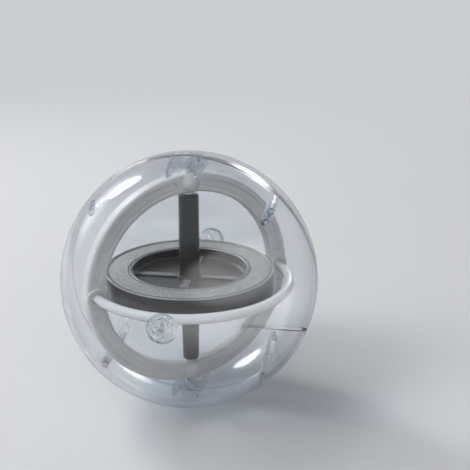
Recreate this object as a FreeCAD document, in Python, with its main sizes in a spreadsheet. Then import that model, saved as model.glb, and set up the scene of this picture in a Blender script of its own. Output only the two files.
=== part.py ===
import FreeCAD, Part
import math
import os
import re
import Sketcher

# A toy gyroscope held inside a clear plastic ball.
#
# The origin is the centre of the ball and of the rotor. +Z runs up the rotor's axle. The ring frame
# stands in the XZ plane with its front at -Y. The ball parts in an upright plane through the axle,
# and each half is drawn with that plane as XZ, then turned about the axle by seam_turn.

# Driving dimensions in millimetres, counts, and angles in degrees.
SIZES = {
    # Clear ball
    "ball_radius": 45.0,
    "ball_wall": 1.6,
    "seam_turn": -37.0,
    "seam_gap": 0.1,
    "lap_length": 1.6,
    "lap_clearance": 0.05,
    "key_count": 14,
    "key_width": 1.6,
    "key_length": 1.2,
    "key_proud": 0.35,
    "pole_boss_radius": 4.85,
    "pole_boss_height": 2.4,
    "pole_recess_radius": 3.0,
    "pole_recess_depth": 1.2,
    "pole_tube_radius": 1.95,
    "pole_hole_radius": 0.85,
    "post_gap": 0.35,
    "post_angle": 45.0,
    "post_radius": 1.7,
    "peg_radius": 1.0,
    "peg_reach": 7.0,
    "peg_clearance": 0.1,
    "peg_tip_chamfer": 0.35,
    "fin_spacing": 8.0,
    "fin_thickness": 1.0,
    "fin_length": 11.0,
    "fin_clearance": 0.45,
    "cradle_depth": 3.4,
    "cradle_reach": 1.5,
    "socket_clearance": 0.1,
    "slot_width": 0.8,
    "slot_start_across": 23.7,
    "slot_seam_drop": 16.7,
    "slot_rise": 24.4,
    # Ring frame
    "ring_room": 6.6,
    "ring_width": 6.4,
    "ring_depth": 4.8,
    "ring_rounding": 0.9,
    "channel_count": 4,
    "channel_width": 2.6,
    "channel_depth": 0.5,
    "channel_margin": 6.6,
    "boss_radius": 4.0,
    "boss_shoulder_angle": 48.0,
    "collar_radius": 1.9,
    "collar_gap": 0.4,
    "collar_curve": 1.5,
    "lug_radius": 3.6,
    "lug_proud": 0.6,
    "lug_rounding": 0.4,
    "lug_groove_radius": 2.6,
    "lug_groove_width": 0.45,
    "lug_groove_depth": 0.4,
    "hoop_inset": 0.2,
    "hoop_rod_radius": 1.65,
    "hoop_clearance": 0.25,
    # Swivel studs and bearing cups
    "foot_ball_radius": 2.2,
    "foot_ball_depth": 3.3,
    "neck_radius": 1.5,
    "flange_radius": 2.6,
    "flange_thickness": 1.2,
    "seat_clearance": 0.02,
    "cup_radius": 2.0,
    "cup_length": 3.5,
    "cup_proud": 0.15,
    "cup_bore_depth": 1.9,
    "cup_point_radius": 0.2,
    "bearing_clearance": 0.05,
    # Rotor
    "rotor_room": 2.4,
    "rotor_top": 4.6,
    "rotor_bottom": 4.4,
    "outer_lip_width": 1.2,
    "rim_width": 9.6,
    "inner_lip_width": 1.3,
    "lip_rounding": 0.5,
    "rim_floor_thickness": 1.4,
    "web_thickness": 1.2,
    "rib_count": 4,
    "rib_width": 1.6,
    "rib_height": 1.3,
    "rib_turn": 53.0,
    "hub_radius": 4.4,
    "weight_sunk": 0.4,
    "weight_chamfer": 0.3,
    "tube_gap": 0.35,
    "tube_end_chamfer": 0.4,
    "upper_tube_base_radius": 3.65,
    "upper_tube_end_radius": 3.5,
    "lower_tube_base_radius": 3.4,
    "lower_tube_end_radius": 2.9,
    "spigot_radius": 2.0,
    "spigot_gap": 0.1,
    "string_hole_radius": 0.9,
    "string_hole_height": 12.0,
    "string_hole_turn": -25.0,
    "pin_radius": 1.0,
    "pin_seat_depth": 8.0,
    "pin_tip_radius": 0.15,
    "pin_tip_gap": 0.1,
    # Cuts run past the surfaces that they open by this much
    "overrun": 2.0,
}

DOC = FreeCAD.newDocument("gyroscope_in_ball")
SHEET = DOC.addObject("Spreadsheet::Sheet", "sizes")
for row, (alias, size) in enumerate(SIZES.items(), start=1):
    SHEET.set(f"A{row}", alias.replace("_", " "))
    SHEET.set(f"B{row}", str(size))
    SHEET.setAlias(f"B{row}", alias)
DOC.recompute()

PIECES = []
CLOSE = 1e-6

# Sizes that follow from the driving dimensions, as expressions on the sheet.
BALL_INNER = "(ball_radius - ball_wall)"
LAP_RADIUS = "(ball_radius - ball_wall / 2)"
FOOT_BALL_HEIGHT = "(ball_radius - foot_ball_depth)"
SOCKET_RADIUS = "(foot_ball_radius + socket_clearance)"
RING_OUTER = "(ball_radius - ring_room)"
RING_INNER = f"({RING_OUTER} - ring_width)"
RING_MIDDLE = f"({RING_OUTER} - ring_width / 2)"
HOOP_RADIUS = f"({RING_MIDDLE} - hoop_inset)"
LUG_FACE = "(ring_depth / 2 + lug_proud)"
POST_CIRCLE = f"({RING_OUTER} + post_gap + post_radius)"
POST_ACROSS = f"({POST_CIRCLE} * cos(post_angle))"
POST_UP = f"({POST_CIRCLE} * sin(post_angle))"
COLLAR_TOP = f"({FOOT_BALL_HEIGHT} - foot_ball_radius - collar_gap)"
CUP_MOUTH = f"({RING_MIDDLE} - boss_radius - cup_proud)"
CUP_BACK = f"({CUP_MOUTH} + cup_length)"
CUP_BORE = "(pin_radius + bearing_clearance)"
CUP_SHOULDER = f"({CUP_MOUTH} + cup_bore_depth)"
FLANGE_BACK = f"({CUP_BACK} + flange_thickness)"
TUBE_END = f"({CUP_MOUTH} - tube_gap)"
SPIGOT_BORE = "(spigot_radius + seat_clearance)"
PIN_BORE = "(pin_radius + seat_clearance)"
RIB_TOP = "(web_thickness / 2 + rib_height)"
ROTOR_RADIUS = f"({RING_INNER} - rotor_room)"
INNER_LIP = f"({ROTOR_RADIUS} - rim_width)"
WEIGHT_INNER = f"({INNER_LIP} + inner_lip_width)"
WEIGHT_OUTER = f"({ROTOR_RADIUS} - outer_lip_width)"
RIM_FLOOR = "(rim_floor_thickness - rotor_bottom)"


def bound(expression):
    """An expression with each size's name pointed at its cell on the sheet."""
    return re.sub(r"[a-z_]+", lambda word: f"sizes.{word[0]}" if word[0] in SIZES else word[0], expression)


def number(expression):
    """What an expression comes to with the sheet as it stands."""
    return float(SHEET.evalExpression(bound(expression)))


def turned_about_axle(angle):
    """The place of a piece that is turned about the axle."""
    return FreeCAD.Placement(FreeCAD.Vector(), FreeCAD.Rotation(FreeCAD.Vector(0, 0, 1), number(angle)))


def new_body(label, turn="0", upside_down=False):
    """A body with its own label, turned about the axle or set upside down where the piece needs it."""
    body = DOC.addObject("PartDesign::Body", label)
    body.Label = label
    body.Placement = turned_about_axle(turn)
    if upside_down:
        body.Placement = FreeCAD.Placement(FreeCAD.Vector(), FreeCAD.Rotation(FreeCAD.Vector(1, 0, 0), 180))
    PIECES.append(body)
    return body


def origin_feature(body, role):
    """The body's own plane or axis with this role."""
    return next(item for item in body.Origin.OriginFeatures if item.Role == role)


def new_sketch(body, name, plane, lift="0"):
    """A sketch on one of the body's planes, lifted along that plane's normal."""
    sketch = body.newObject("Sketcher::SketchObject", name)
    sketch.AttachmentSupport = [(origin_feature(body, plane), "")]
    sketch.MapMode = "FlatFace"
    sketch.setExpression("AttachmentOffset.Base.z", bound(lift))
    return sketch


def tie(sketch, kind, place, expression):
    """Hold one coordinate or radius of a sketch at an expression on the sheet."""
    index = sketch.addConstraint(Sketcher.Constraint(kind, *place, number(expression)))
    sketch.setExpression(f"Constraints[{index}]", bound(expression))


def arc_between(start, end, radius, turn):
    """The short arc from start to end, whose centre lies on the left or the right of the way."""
    half = (end - start) / 2
    reach = math.sqrt(max(radius ** 2 - half.Length ** 2, 0))
    left = FreeCAD.Vector(-half.y, half.x, 0).normalize()
    side = 1 if turn == "left" else -1
    centre = start + half + left * reach * side
    first, last = (start, end) if turn == "left" else (end, start)
    angles = [math.atan2(point.y - centre.y, point.x - centre.x) for point in (first, last)]
    if angles[1] < angles[0]:
        angles[1] += 2 * math.pi
    whole = Part.Circle(centre, FreeCAD.Vector(0, 0, 1), radius)
    return Part.ArcOfCircle(whole, *angles)


def outline(sketch, corners):
    """A closed outline whose corners are tied to the sheet.

    A corner is (across, up), reached by a straight side, or (across, up, radius, turn), reached by an
    arc. The last side closes the outline on the first corner.
    """
    points = [FreeCAD.Vector(number(corner[0]), number(corner[1]), 0) for corner in corners]
    ends = []
    for index, corner in enumerate(corners):
        start = points[index - 1]
        end = points[index]
        if len(corner) == 4:
            side = sketch.addGeometry(arc_between(start, end, number(corner[2]), corner[3]), False)
            ends.append((side, 1, 2) if corner[3] == "left" else (side, 2, 1))
        else:
            side = sketch.addGeometry(Part.LineSegment(start, end), False)
            ends.append((side, 1, 2))
    for index, corner in enumerate(corners):
        side, _, finish = ends[index]
        after, begin, _ = ends[(index + 1) % len(corners)]
        sketch.addConstraint(Sketcher.Constraint("Coincident", side, finish, after, begin))
        tie(sketch, "DistanceX", (-1, 1, side, finish), corner[0])
        tie(sketch, "DistanceY", (-1, 1, side, finish), corner[1])
        if len(corner) == 4:
            tie(sketch, "Radius", (side,), corner[2])


def circle(sketch, across, up, radius):
    """A full circle tied to the sheet."""
    centre = FreeCAD.Vector(number(across), number(up), 0)
    ring = sketch.addGeometry(Part.Circle(centre, FreeCAD.Vector(0, 0, 1), number(radius)), False)
    tie(sketch, "DistanceX", (-1, 1, ring, 3), across)
    tie(sketch, "DistanceY", (-1, 1, ring, 3), up)
    tie(sketch, "Radius", (ring,), radius)


def flipped(corners):
    """The same outline upside down, with its arcs turning the other way."""
    other = {"left": "right", "right": "left"}
    return [
        (across, f"-({up})", *((arc[0], other[arc[1]]) if arc else ()))
        for across, up, *arc in corners
    ]


def spin(body, sketch, axis, cut=False, angle=360, reverse=False):
    """Turn an outline about one of the body's axes, as material or as a cut."""
    kind = "PartDesign::Groove" if cut else "PartDesign::Revolution"
    feature = body.newObject(kind, f"{sketch.Name}_spun")
    feature.Profile = sketch
    feature.ReferenceAxis = (origin_feature(body, axis), [""])
    feature.Angle = angle
    feature.Reversed = reverse
    return feature


def pad(body, sketch, length, reverse=False, both_ways=False):
    """Raise an outline by a length, along its normal, against it, or half each way."""
    feature = body.newObject("PartDesign::Pad", f"{sketch.Name}_pad")
    feature.Profile = sketch
    feature.setExpression("Length", bound(length))
    feature.Reversed = reverse
    feature.Midplane = both_ways
    return feature


def pocket(body, sketch, depth, reverse=False, both_ways=False):
    """Sink an outline by a depth, against its normal, along it, or half each way."""
    feature = body.newObject("PartDesign::Pocket", f"{sketch.Name}_pocket")
    feature.Profile = sketch
    feature.setExpression("Length", bound(depth))
    feature.Reversed = reverse
    feature.Midplane = both_ways
    return feature


def around(body, feature, axis, count):
    """Repeat a feature evenly about one of the body's axes."""
    pattern = body.newObject("PartDesign::PolarPattern", f"{feature.Name}_pattern")
    pattern.Originals = [feature]
    pattern.Axis = (origin_feature(body, axis), [""])
    pattern.Angle = 360
    pattern.setExpression("Occurrences", bound(count))
    body.Tip = pattern
    return pattern


def soften(body, feature, chosen, radius, kind="PartDesign::Fillet"):
    """Round or chamfer the edges of a feature that chosen picks."""
    DOC.recompute()
    names = [f"Edge{index}" for index, edge in enumerate(feature.Shape.Edges, start=1) if chosen(edge)]
    softened = body.newObject(kind, f"{feature.Name}_soft")
    softened.Base = (feature, names)
    softened.setExpression("Radius" if kind.endswith("Fillet") else "Size", bound(radius))
    return softened


def on_circle(edge, radius):
    """Whether an edge lies on a circle of this radius."""
    if edge.Degenerated:
        return False
    return isinstance(edge.Curve, Part.Circle) and abs(edge.Curve.Radius - number(radius)) < CLOSE


# Clear ball

def on_ball(radius, offset):
    """How far out a ball of this radius reaches at an offset from its centre."""
    return f"sqrt(({radius})^2 - ({offset})^2)"


def hemisphere(body, has_tongue):
    """Half of the ball with its lap joint and its pole boss, open towards -Y."""
    rim = "(seam_gap / 2)"
    if has_tongue:
        step = LAP_RADIUS
        lap_end = "(-lap_length)"
    else:
        step = f"({LAP_RADIUS} + lap_clearance)"
        lap_end = "(lap_length + lap_clearance)"
    boss_top = f"({BALL_INNER} - pole_boss_height)"
    recess_floor = f"({boss_top} + pole_recess_depth)"
    wall = new_sketch(body, "wall", "XY_Plane")
    outline(wall, [
        ("pole_hole_radius", boss_top),
        ("pole_hole_radius", on_ball("ball_radius", "pole_hole_radius")),
        (on_ball("ball_radius", rim), rim, "ball_radius", "right"),
        (step, rim),
        (step, lap_end),
        (on_ball(BALL_INNER, lap_end), lap_end),
        ("pole_boss_radius", on_ball(BALL_INNER, "pole_boss_radius"), BALL_INNER, "left"),
        ("pole_boss_radius", boss_top),
        ("pole_recess_radius", boss_top),
        ("pole_recess_radius", recess_floor),
        ("pole_tube_radius", recess_floor),
        ("pole_tube_radius", boss_top),
    ])
    spin(body, wall, "Y_Axis")


def lap_relief(body):
    """Clear the fittings out of the room that the other half's tongue takes."""
    relief = new_sketch(body, "relief", "XY_Plane")
    inside = f"({BALL_INNER} - lap_clearance)"
    outside = f"({LAP_RADIUS} + lap_clearance)"
    back = "(lap_length + lap_clearance)"
    outline(relief, [(inside, "-overrun"), (outside, "-overrun"), (outside, back), (inside, back)])
    spin(body, relief, "Y_Axis", cut=True)


def inside_fittings(body):
    """Posts, cradle fins and cradle blocks, run out past the wall and then trimmed inside it."""
    seam_face = "-seam_gap / 2"
    posts = new_sketch(body, "posts", "XZ_Plane", seam_face)
    fins = new_sketch(body, "fins", "XZ_Plane", seam_face)
    cradles = new_sketch(body, "cradles", "XZ_Plane", seam_face)
    fin_inside = "fin_spacing / 2"
    fin_outside = "(fin_spacing / 2 + fin_thickness)"
    fin_top = f"({RING_OUTER} + fin_clearance)"
    cradle_top = f"({FOOT_BALL_HEIGHT} - cradle_reach)"
    for end in ("", "-"):
        for side in ("", "-"):
            circle(posts, f"{side}{POST_ACROSS}", f"{end}{POST_UP}", "post_radius")
            outline(fins, [
                (f"{side}{fin_inside}", f"{end}{fin_top}"),
                (f"{side}{fin_outside}", f"{end}{fin_top}"),
                (f"{side}{fin_outside}", f"{end}ball_radius"),
                (f"{side}{fin_inside}", f"{end}ball_radius"),
            ])
        outline(cradles, [
            (f"-{fin_outside}", f"{end}{cradle_top}"),
            (fin_outside, f"{end}{cradle_top}"),
            (fin_outside, f"{end}ball_radius"),
            (f"-{fin_outside}", f"{end}ball_radius"),
        ])
    pad(body, posts, "ball_radius", reverse=True)
    pad(body, fins, "fin_length", reverse=True)
    pad(body, cradles, "cradle_depth", reverse=True)
    trim = new_sketch(body, "trim", "XY_Plane")
    outline(trim, [
        (LAP_RADIUS, "-overrun"),
        ("2 * ball_radius", "-overrun"),
        ("2 * ball_radius", "2 * ball_radius"),
        ("0", "2 * ball_radius"),
        ("0", LAP_RADIUS),
        (LAP_RADIUS, "0", LAP_RADIUS, "right"),
    ])
    spin(body, trim, "Y_Axis", cut=True)


def swivel_sockets(body):
    """Round pockets at the top and the bottom for the studs' ball ends."""
    half_disc = [
        ("0", f"{FOOT_BALL_HEIGHT} - {SOCKET_RADIUS}", SOCKET_RADIUS, "right"),
        ("0", f"{FOOT_BALL_HEIGHT} + {SOCKET_RADIUS}"),
        (SOCKET_RADIUS, FOOT_BALL_HEIGHT, SOCKET_RADIUS, "right"),
    ]
    sockets = new_sketch(body, "sockets", "XZ_Plane")
    outline(sockets, half_disc)
    outline(sockets, flipped(half_disc))
    spin(body, sockets, "Z_Axis", cut=True)


def pegs_and_holes(body):
    """Pegs on two posts and holes in the other two, so that two like halves close on each other."""
    holes = new_sketch(body, "peg_holes", "XZ_Plane")
    pegs = new_sketch(body, "pegs", "XZ_Plane", "-overrun")
    for end in ("", "-"):
        circle(holes, f"-{POST_ACROSS}", f"{end}{POST_UP}", "peg_radius + peg_clearance")
        circle(pegs, POST_ACROSS, f"{end}{POST_UP}", "peg_radius")
    pocket(body, holes, "peg_reach + peg_clearance + seam_gap")
    grown = pad(body, pegs, "overrun + peg_reach")
    tip = -number("peg_reach")
    at_tip = lambda edge: on_circle(edge, "peg_radius") and abs(edge.CenterOfMass.y - tip) < CLOSE
    soften(body, grown, at_tip, "peg_tip_chamfer", "PartDesign::Chamfer")


def key_corners(slack, side):
    """The corners of the first seam key, which lies straight across from the axle."""
    inside = f"{side}({LAP_RADIUS} - ball_wall / 4)"
    outside = f"{side}({LAP_RADIUS} + key_proud + {slack})"
    half_width = f"(key_width / 2 + {slack})"
    return [
        (inside, f"-{half_width}"),
        (outside, f"-{half_width}"),
        (outside, half_width),
        (inside, half_width),
    ]


def seam_keys(body):
    """Small square keys round the tongue."""
    keys = new_sketch(body, "keys", "XZ_Plane")
    outline(keys, key_corners("0", ""))
    around(body, pad(body, keys, "key_length"), "Y_Axis", "key_count")


def seam_notches(body):
    """Notches in the rim that take the other half's keys."""
    notches = new_sketch(body, "notches", "XZ_Plane", "overrun")
    outline(notches, key_corners("lap_clearance", "-"))
    around(body, pocket(body, notches, "overrun + key_length + lap_clearance"), "Y_Axis", "key_count")


def string_slot(body):
    """A straight saw cut for the pull string, which rises from the seam as it runs towards the pole."""
    slot = new_sketch(body, "string_slot", "YZ_Plane", "-slot_start_across")
    outline(slot, [
        (f"{along} * cos(slot_rise) {edge} slot_width / 2 * sin(slot_rise)",
         f"-slot_seam_drop + {along} * sin(slot_rise) {other_edge} slot_width / 2 * cos(slot_rise)")
        for along, edge, other_edge in (
            ("-overrun", "-", "+"), ("1.5 * ball_radius", "-", "+"),
            ("1.5 * ball_radius", "+", "-"), ("-overrun", "+", "-"),
        )
    ])
    pocket(body, slot, "ball_radius")


rear_shell = new_body("rear_shell", turn="seam_turn")
inside_fittings(rear_shell)
hemisphere(rear_shell, has_tongue=True)
swivel_sockets(rear_shell)
pegs_and_holes(rear_shell)
seam_keys(rear_shell)

front_shell = new_body("front_shell", turn="seam_turn + 180")
inside_fittings(front_shell)
hemisphere(front_shell, has_tongue=False)
lap_relief(front_shell)
swivel_sockets(front_shell)
pegs_and_holes(front_shell)
seam_notches(front_shell)
string_slot(front_shell)


# Ring frame

def ring_half(body):
    """Half of the ring frame, on the -Y side, with its half bosses, lugs and channels."""
    band = new_sketch(body, "band", "XY_Plane")
    outline(band, [
        (RING_INNER, "0"),
        (RING_INNER, "ring_rounding - ring_depth / 2"),
        (f"{RING_INNER} + ring_rounding", "-ring_depth / 2", "ring_rounding", "left"),
        (f"{RING_OUTER} - ring_rounding", "-ring_depth / 2"),
        (RING_OUTER, "ring_rounding - ring_depth / 2", "ring_rounding", "left"),
        (RING_OUTER, "0"),
    ])
    spin(body, band, "Y_Axis")

    lugs = new_sketch(body, "lugs", "XZ_Plane")
    circle(lugs, HOOP_RADIUS, "0", "lug_radius")
    circle(lugs, f"-{HOOP_RADIUS}", "0", "lug_radius")
    lug_pad = pad(body, lugs, LUG_FACE)
    face = -number(LUG_FACE)
    at_face = lambda edge: on_circle(edge, "lug_radius") and abs(edge.CenterOfMass.y - face) < CLOSE
    soften(body, lug_pad, at_face, "lug_rounding")

    ball_boss = [
        ("0", f"{RING_MIDDLE} - boss_radius"),
        ("boss_radius", RING_MIDDLE, "boss_radius", "left"),
        ("boss_radius * cos(boss_shoulder_angle)", f"{RING_MIDDLE} + boss_radius * sin(boss_shoulder_angle)",
         "boss_radius", "left"),
        ("collar_radius", COLLAR_TOP, "collar_curve", "right"),
        ("0", COLLAR_TOP),
    ]
    bosses = new_sketch(body, "bosses", "XZ_Plane")
    outline(bosses, ball_boss)
    outline(bosses, flipped(ball_boss))
    spin(body, bosses, "Z_Axis", angle=180, reverse=True)

    stud_seat = [
        ("0", f"{RING_MIDDLE} - boss_radius - overrun"),
        ("cup_radius + seat_clearance", f"{RING_MIDDLE} - boss_radius - overrun"),
        ("cup_radius + seat_clearance", CUP_BACK),
        ("flange_radius + seat_clearance", CUP_BACK),
        ("flange_radius + seat_clearance", f"{FLANGE_BACK} + 2 * seat_clearance"),
        ("neck_radius + seat_clearance", f"{FLANGE_BACK} + 2 * seat_clearance"),
        ("neck_radius + seat_clearance", f"{COLLAR_TOP} + overrun"),
        ("0", f"{COLLAR_TOP} + overrun"),
    ]
    seats = new_sketch(body, "stud_seats", "XZ_Plane")
    outline(seats, stud_seat)
    outline(seats, flipped(stud_seat))
    spin(body, seats, "Z_Axis", cut=True)

    holes = new_sketch(body, "hoop_holes", "XZ_Plane", f"{LUG_FACE} + overrun")
    grooves = new_sketch(body, "lug_grooves", "XZ_Plane", LUG_FACE)
    for side in ("", "-"):
        circle(holes, f"{side}{HOOP_RADIUS}", "0", "hoop_rod_radius + hoop_clearance")
        circle(grooves, f"{side}{HOOP_RADIUS}", "0", "lug_groove_radius + lug_groove_width / 2")
        circle(grooves, f"{side}{HOOP_RADIUS}", "0", "lug_groove_radius - lug_groove_width / 2")
    pocket(body, holes, f"{LUG_FACE} + 2 * overrun")
    pocket(body, grooves, "lug_groove_depth")

    around(body, channel_pocket(body), "Y_Axis", "channel_count")


def channel_pocket(body):
    """One shallow channel in the ring's face, round-ended, short of a boss and of a lug."""
    degrees = f"/ {RING_MIDDLE} * 180 / pi"
    start = f"(channel_margin {degrees})"
    end = f"(360 / channel_count - {start})"
    nose = "channel_width / 2"
    outer = f"({RING_MIDDLE} + {nose})"
    inner = f"({RING_MIDDLE} - {nose})"
    channel = new_sketch(body, "channel", "XZ_Plane", "ring_depth / 2 + overrun")
    outline(channel, [
        (f"{outer} * cos({start})", f"{outer} * sin({start})", nose, "left"),
        (f"{outer} * cos({end})", f"{outer} * sin({end})", outer, "left"),
        (f"{RING_MIDDLE} * cos({end}) - {nose} * sin({end})",
         f"{RING_MIDDLE} * sin({end}) + {nose} * cos({end})", nose, "left"),
        (f"{inner} * cos({end})", f"{inner} * sin({end})", nose, "left"),
        (f"{inner} * cos({start})", f"{inner} * sin({start})", inner, "right"),
        (f"{RING_MIDDLE} * cos({start}) + {nose} * sin({start})",
         f"{RING_MIDDLE} * sin({start}) - {nose} * cos({start})", nose, "left"),
    ])
    return pocket(body, channel, "channel_depth + overrun")


ring_half(new_body("frame_ring_front"))
ring_half(new_body("frame_ring_rear", turn="180"))


def guard_hoop(label, turn):
    """Half of the round guard hoop, its ends sunk in the lugs."""
    hoop = DOC.addObject("Part::Torus", label)
    hoop.Label = label
    hoop.setExpression("Radius1", bound(HOOP_RADIUS))
    hoop.setExpression("Radius2", bound("hoop_rod_radius"))
    hoop.Angle3 = 180
    hoop.Placement = FreeCAD.Placement(FreeCAD.Vector(), FreeCAD.Rotation(FreeCAD.Vector(0, 0, 1), turn))
    PIECES.append(hoop)


guard_hoop("front_guard_hoop", 180)
guard_hoop("rear_guard_hoop", 0)


# Swivel studs, bearing cups and pivot pins, each drawn for the top and set upside down for the bottom

def turned_piece(label, corners, upside_down=False):
    """A piece turned about the axle from one outline."""
    body = new_body(label, upside_down=upside_down)
    profile = new_sketch(body, "profile", "XZ_Plane")
    outline(profile, corners)
    spin(body, profile, "Z_Axis")
    return body


STUD = [
    ("0", f"{CUP_BACK} + seat_clearance"),
    ("flange_radius", f"{CUP_BACK} + seat_clearance"),
    ("flange_radius", f"{FLANGE_BACK} + seat_clearance"),
    ("neck_radius", f"{FLANGE_BACK} + seat_clearance"),
    ("neck_radius", f"{FOOT_BALL_HEIGHT} - {on_ball('foot_ball_radius', 'neck_radius')}"),
    ("foot_ball_radius", FOOT_BALL_HEIGHT, "foot_ball_radius", "left"),
    ("0", f"{FOOT_BALL_HEIGHT} + foot_ball_radius", "foot_ball_radius", "left"),
]
CUP = [
    (CUP_BORE, CUP_MOUTH),
    ("cup_radius", CUP_MOUTH),
    ("cup_radius", CUP_BACK),
    ("0", CUP_BACK),
    ("0", f"{CUP_SHOULDER} + {CUP_BORE} - cup_point_radius"),
    ("cup_point_radius", f"{CUP_SHOULDER} + {CUP_BORE} - cup_point_radius"),
    (CUP_BORE, CUP_SHOULDER),
]
PIN = [
    ("0", f"{TUBE_END} - pin_seat_depth"),
    ("pin_radius", f"{TUBE_END} - pin_seat_depth"),
    ("pin_radius", f"{CUP_SHOULDER} - pin_tip_gap"),
    ("pin_tip_radius", f"{CUP_SHOULDER} - pin_tip_gap + pin_radius - pin_tip_radius"),
    ("0", f"{CUP_SHOULDER} - pin_tip_gap + pin_radius - pin_tip_radius"),
]
for end, is_bottom in (("top", False), ("bottom", True)):
    turned_piece(f"{end}_swivel_stud", STUD, is_bottom)
    turned_piece(f"{end}_bearing_cup", CUP, is_bottom)
    turned_piece(f"{end}_pivot_pin", PIN, is_bottom)


# Rotor

def axle_tube(label, base_radius, end_radius, upside_down=False):
    """A tapered tube that plugs into the wheel's hub and holds a pivot pin in its far end."""
    return turned_piece(label, [
        (PIN_BORE, TUBE_END),
        (f"{end_radius} - tube_end_chamfer", TUBE_END),
        (end_radius, f"{TUBE_END} - tube_end_chamfer"),
        (base_radius, RIB_TOP),
        ("spigot_radius", RIB_TOP),
        ("spigot_radius", "spigot_gap / 2"),
        ("0", "spigot_gap / 2"),
        ("0", f"{TUBE_END} - pin_seat_depth - seat_clearance"),
        (PIN_BORE, f"{TUBE_END} - pin_seat_depth - seat_clearance"),
    ], upside_down)


upper_tube = axle_tube("upper_axle_tube", "upper_tube_base_radius", "upper_tube_end_radius")
string_hole = new_sketch(upper_tube, "string_hole", "YZ_Plane")
circle(string_hole, "0", "string_hole_height", "string_hole_radius")
pocket(upper_tube, string_hole, "4 * upper_tube_base_radius", both_ways=True)
upper_tube.Placement = turned_about_axle("string_hole_turn")
axle_tube("lower_axle_tube", "lower_tube_base_radius", "lower_tube_end_radius", upside_down=True)

rotor_wheel = new_body("rotor_wheel", turn="rib_turn")
wheel = new_sketch(rotor_wheel, "wheel", "XZ_Plane")
outline(wheel, [
    (SPIGOT_BORE, f"-{RIB_TOP}"),
    ("hub_radius", f"-{RIB_TOP}"),
    ("hub_radius", "-web_thickness / 2"),
    (INNER_LIP, "-web_thickness / 2"),
    (INNER_LIP, "lip_rounding - rotor_bottom"),
    (f"{INNER_LIP} + lip_rounding", "-rotor_bottom", "lip_rounding", "left"),
    (f"{ROTOR_RADIUS} - lip_rounding", "-rotor_bottom"),
    (ROTOR_RADIUS, "lip_rounding - rotor_bottom", "lip_rounding", "left"),
    (ROTOR_RADIUS, "rotor_top - lip_rounding"),
    (f"{ROTOR_RADIUS} - lip_rounding", "rotor_top", "lip_rounding", "left"),
    (f"{WEIGHT_OUTER} + lip_rounding", "rotor_top"),
    (WEIGHT_OUTER, "rotor_top - lip_rounding", "lip_rounding", "left"),
    (WEIGHT_OUTER, RIM_FLOOR),
    (WEIGHT_INNER, RIM_FLOOR),
    (WEIGHT_INNER, "rotor_top - lip_rounding"),
    (f"{WEIGHT_INNER} - lip_rounding", "rotor_top", "lip_rounding", "left"),
    (f"{INNER_LIP} + lip_rounding", "rotor_top"),
    (INNER_LIP, "rotor_top - lip_rounding", "lip_rounding", "left"),
    (INNER_LIP, "web_thickness / 2"),
    ("hub_radius", "web_thickness / 2"),
    ("hub_radius", RIB_TOP),
    (SPIGOT_BORE, RIB_TOP),
])
spin(rotor_wheel, wheel, "Z_Axis")
rib = new_sketch(rotor_wheel, "rib", "XY_Plane")
rib_inside = "(hub_radius - rib_width / 2)"
rib_outside = f"({INNER_LIP} + inner_lip_width / 2)"
outline(rib, [
    (rib_inside, "-rib_width / 2"),
    (rib_outside, "-rib_width / 2"),
    (rib_outside, "rib_width / 2"),
    (rib_inside, "rib_width / 2"),
])
around(rotor_wheel, pad(rotor_wheel, rib, f"2 * {RIB_TOP}", both_ways=True), "Z_Axis", "rib_count")

turned_piece("weight_ring", [
    (f"{WEIGHT_INNER} + seat_clearance", RIM_FLOOR),
    (f"{WEIGHT_OUTER} - seat_clearance", RIM_FLOOR),
    (f"{WEIGHT_OUTER} - seat_clearance", "rotor_top - weight_sunk - weight_chamfer"),
    (f"{WEIGHT_OUTER} - seat_clearance - weight_chamfer", "rotor_top - weight_sunk"),
    (f"{WEIGHT_INNER} + seat_clearance + weight_chamfer", "rotor_top - weight_sunk"),
    (f"{WEIGHT_INNER} + seat_clearance", "rotor_top - weight_sunk - weight_chamfer"),
])


# Check every piece, then write each to its own file

DOC.recompute()
for item in DOC.Objects:
    if {"Invalid", "Error"} & set(item.State):
        raise RuntimeError(f"{item.Label} in {item.getParentGeoFeatureGroup()} did not build: {item.State}")
os.makedirs("parts", exist_ok=True)
for piece in PIECES:
    if piece.Shape.isNull() or not piece.Shape.isValid():
        raise RuntimeError(f"{piece.Label} has no valid shape")
    box = piece.Shape.BoundBox
    print(f"{piece.Label}: {len(piece.Shape.Solids)} solid, {piece.Shape.Volume:.1f} mm3,"
          f" x {box.XMin:.2f} to {box.XMax:.2f}, y {box.YMin:.2f} to {box.YMax:.2f},"
          f" z {box.ZMin:.2f} to {box.ZMax:.2f}")
    piece.Shape.exportStep(f"parts/{piece.Label}.step")
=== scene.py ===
# %% [markdown]
# # A toy gyroscope in a clear ball
# The real object is about 90 mm across. A heavy rotor spins on pins inside a white ring frame, the
# frame swivels on two small ball feet, and a clear ball in two moulded halves keeps fingers away.
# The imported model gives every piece's place and how it moves. This notebook gives each piece its
# finished surface: soft moulded edges, even curves, and plastic and metal that behave like the real ones.

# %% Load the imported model
import math
import bmesh
import bpy
from mathutils import Matrix, Vector


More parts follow.
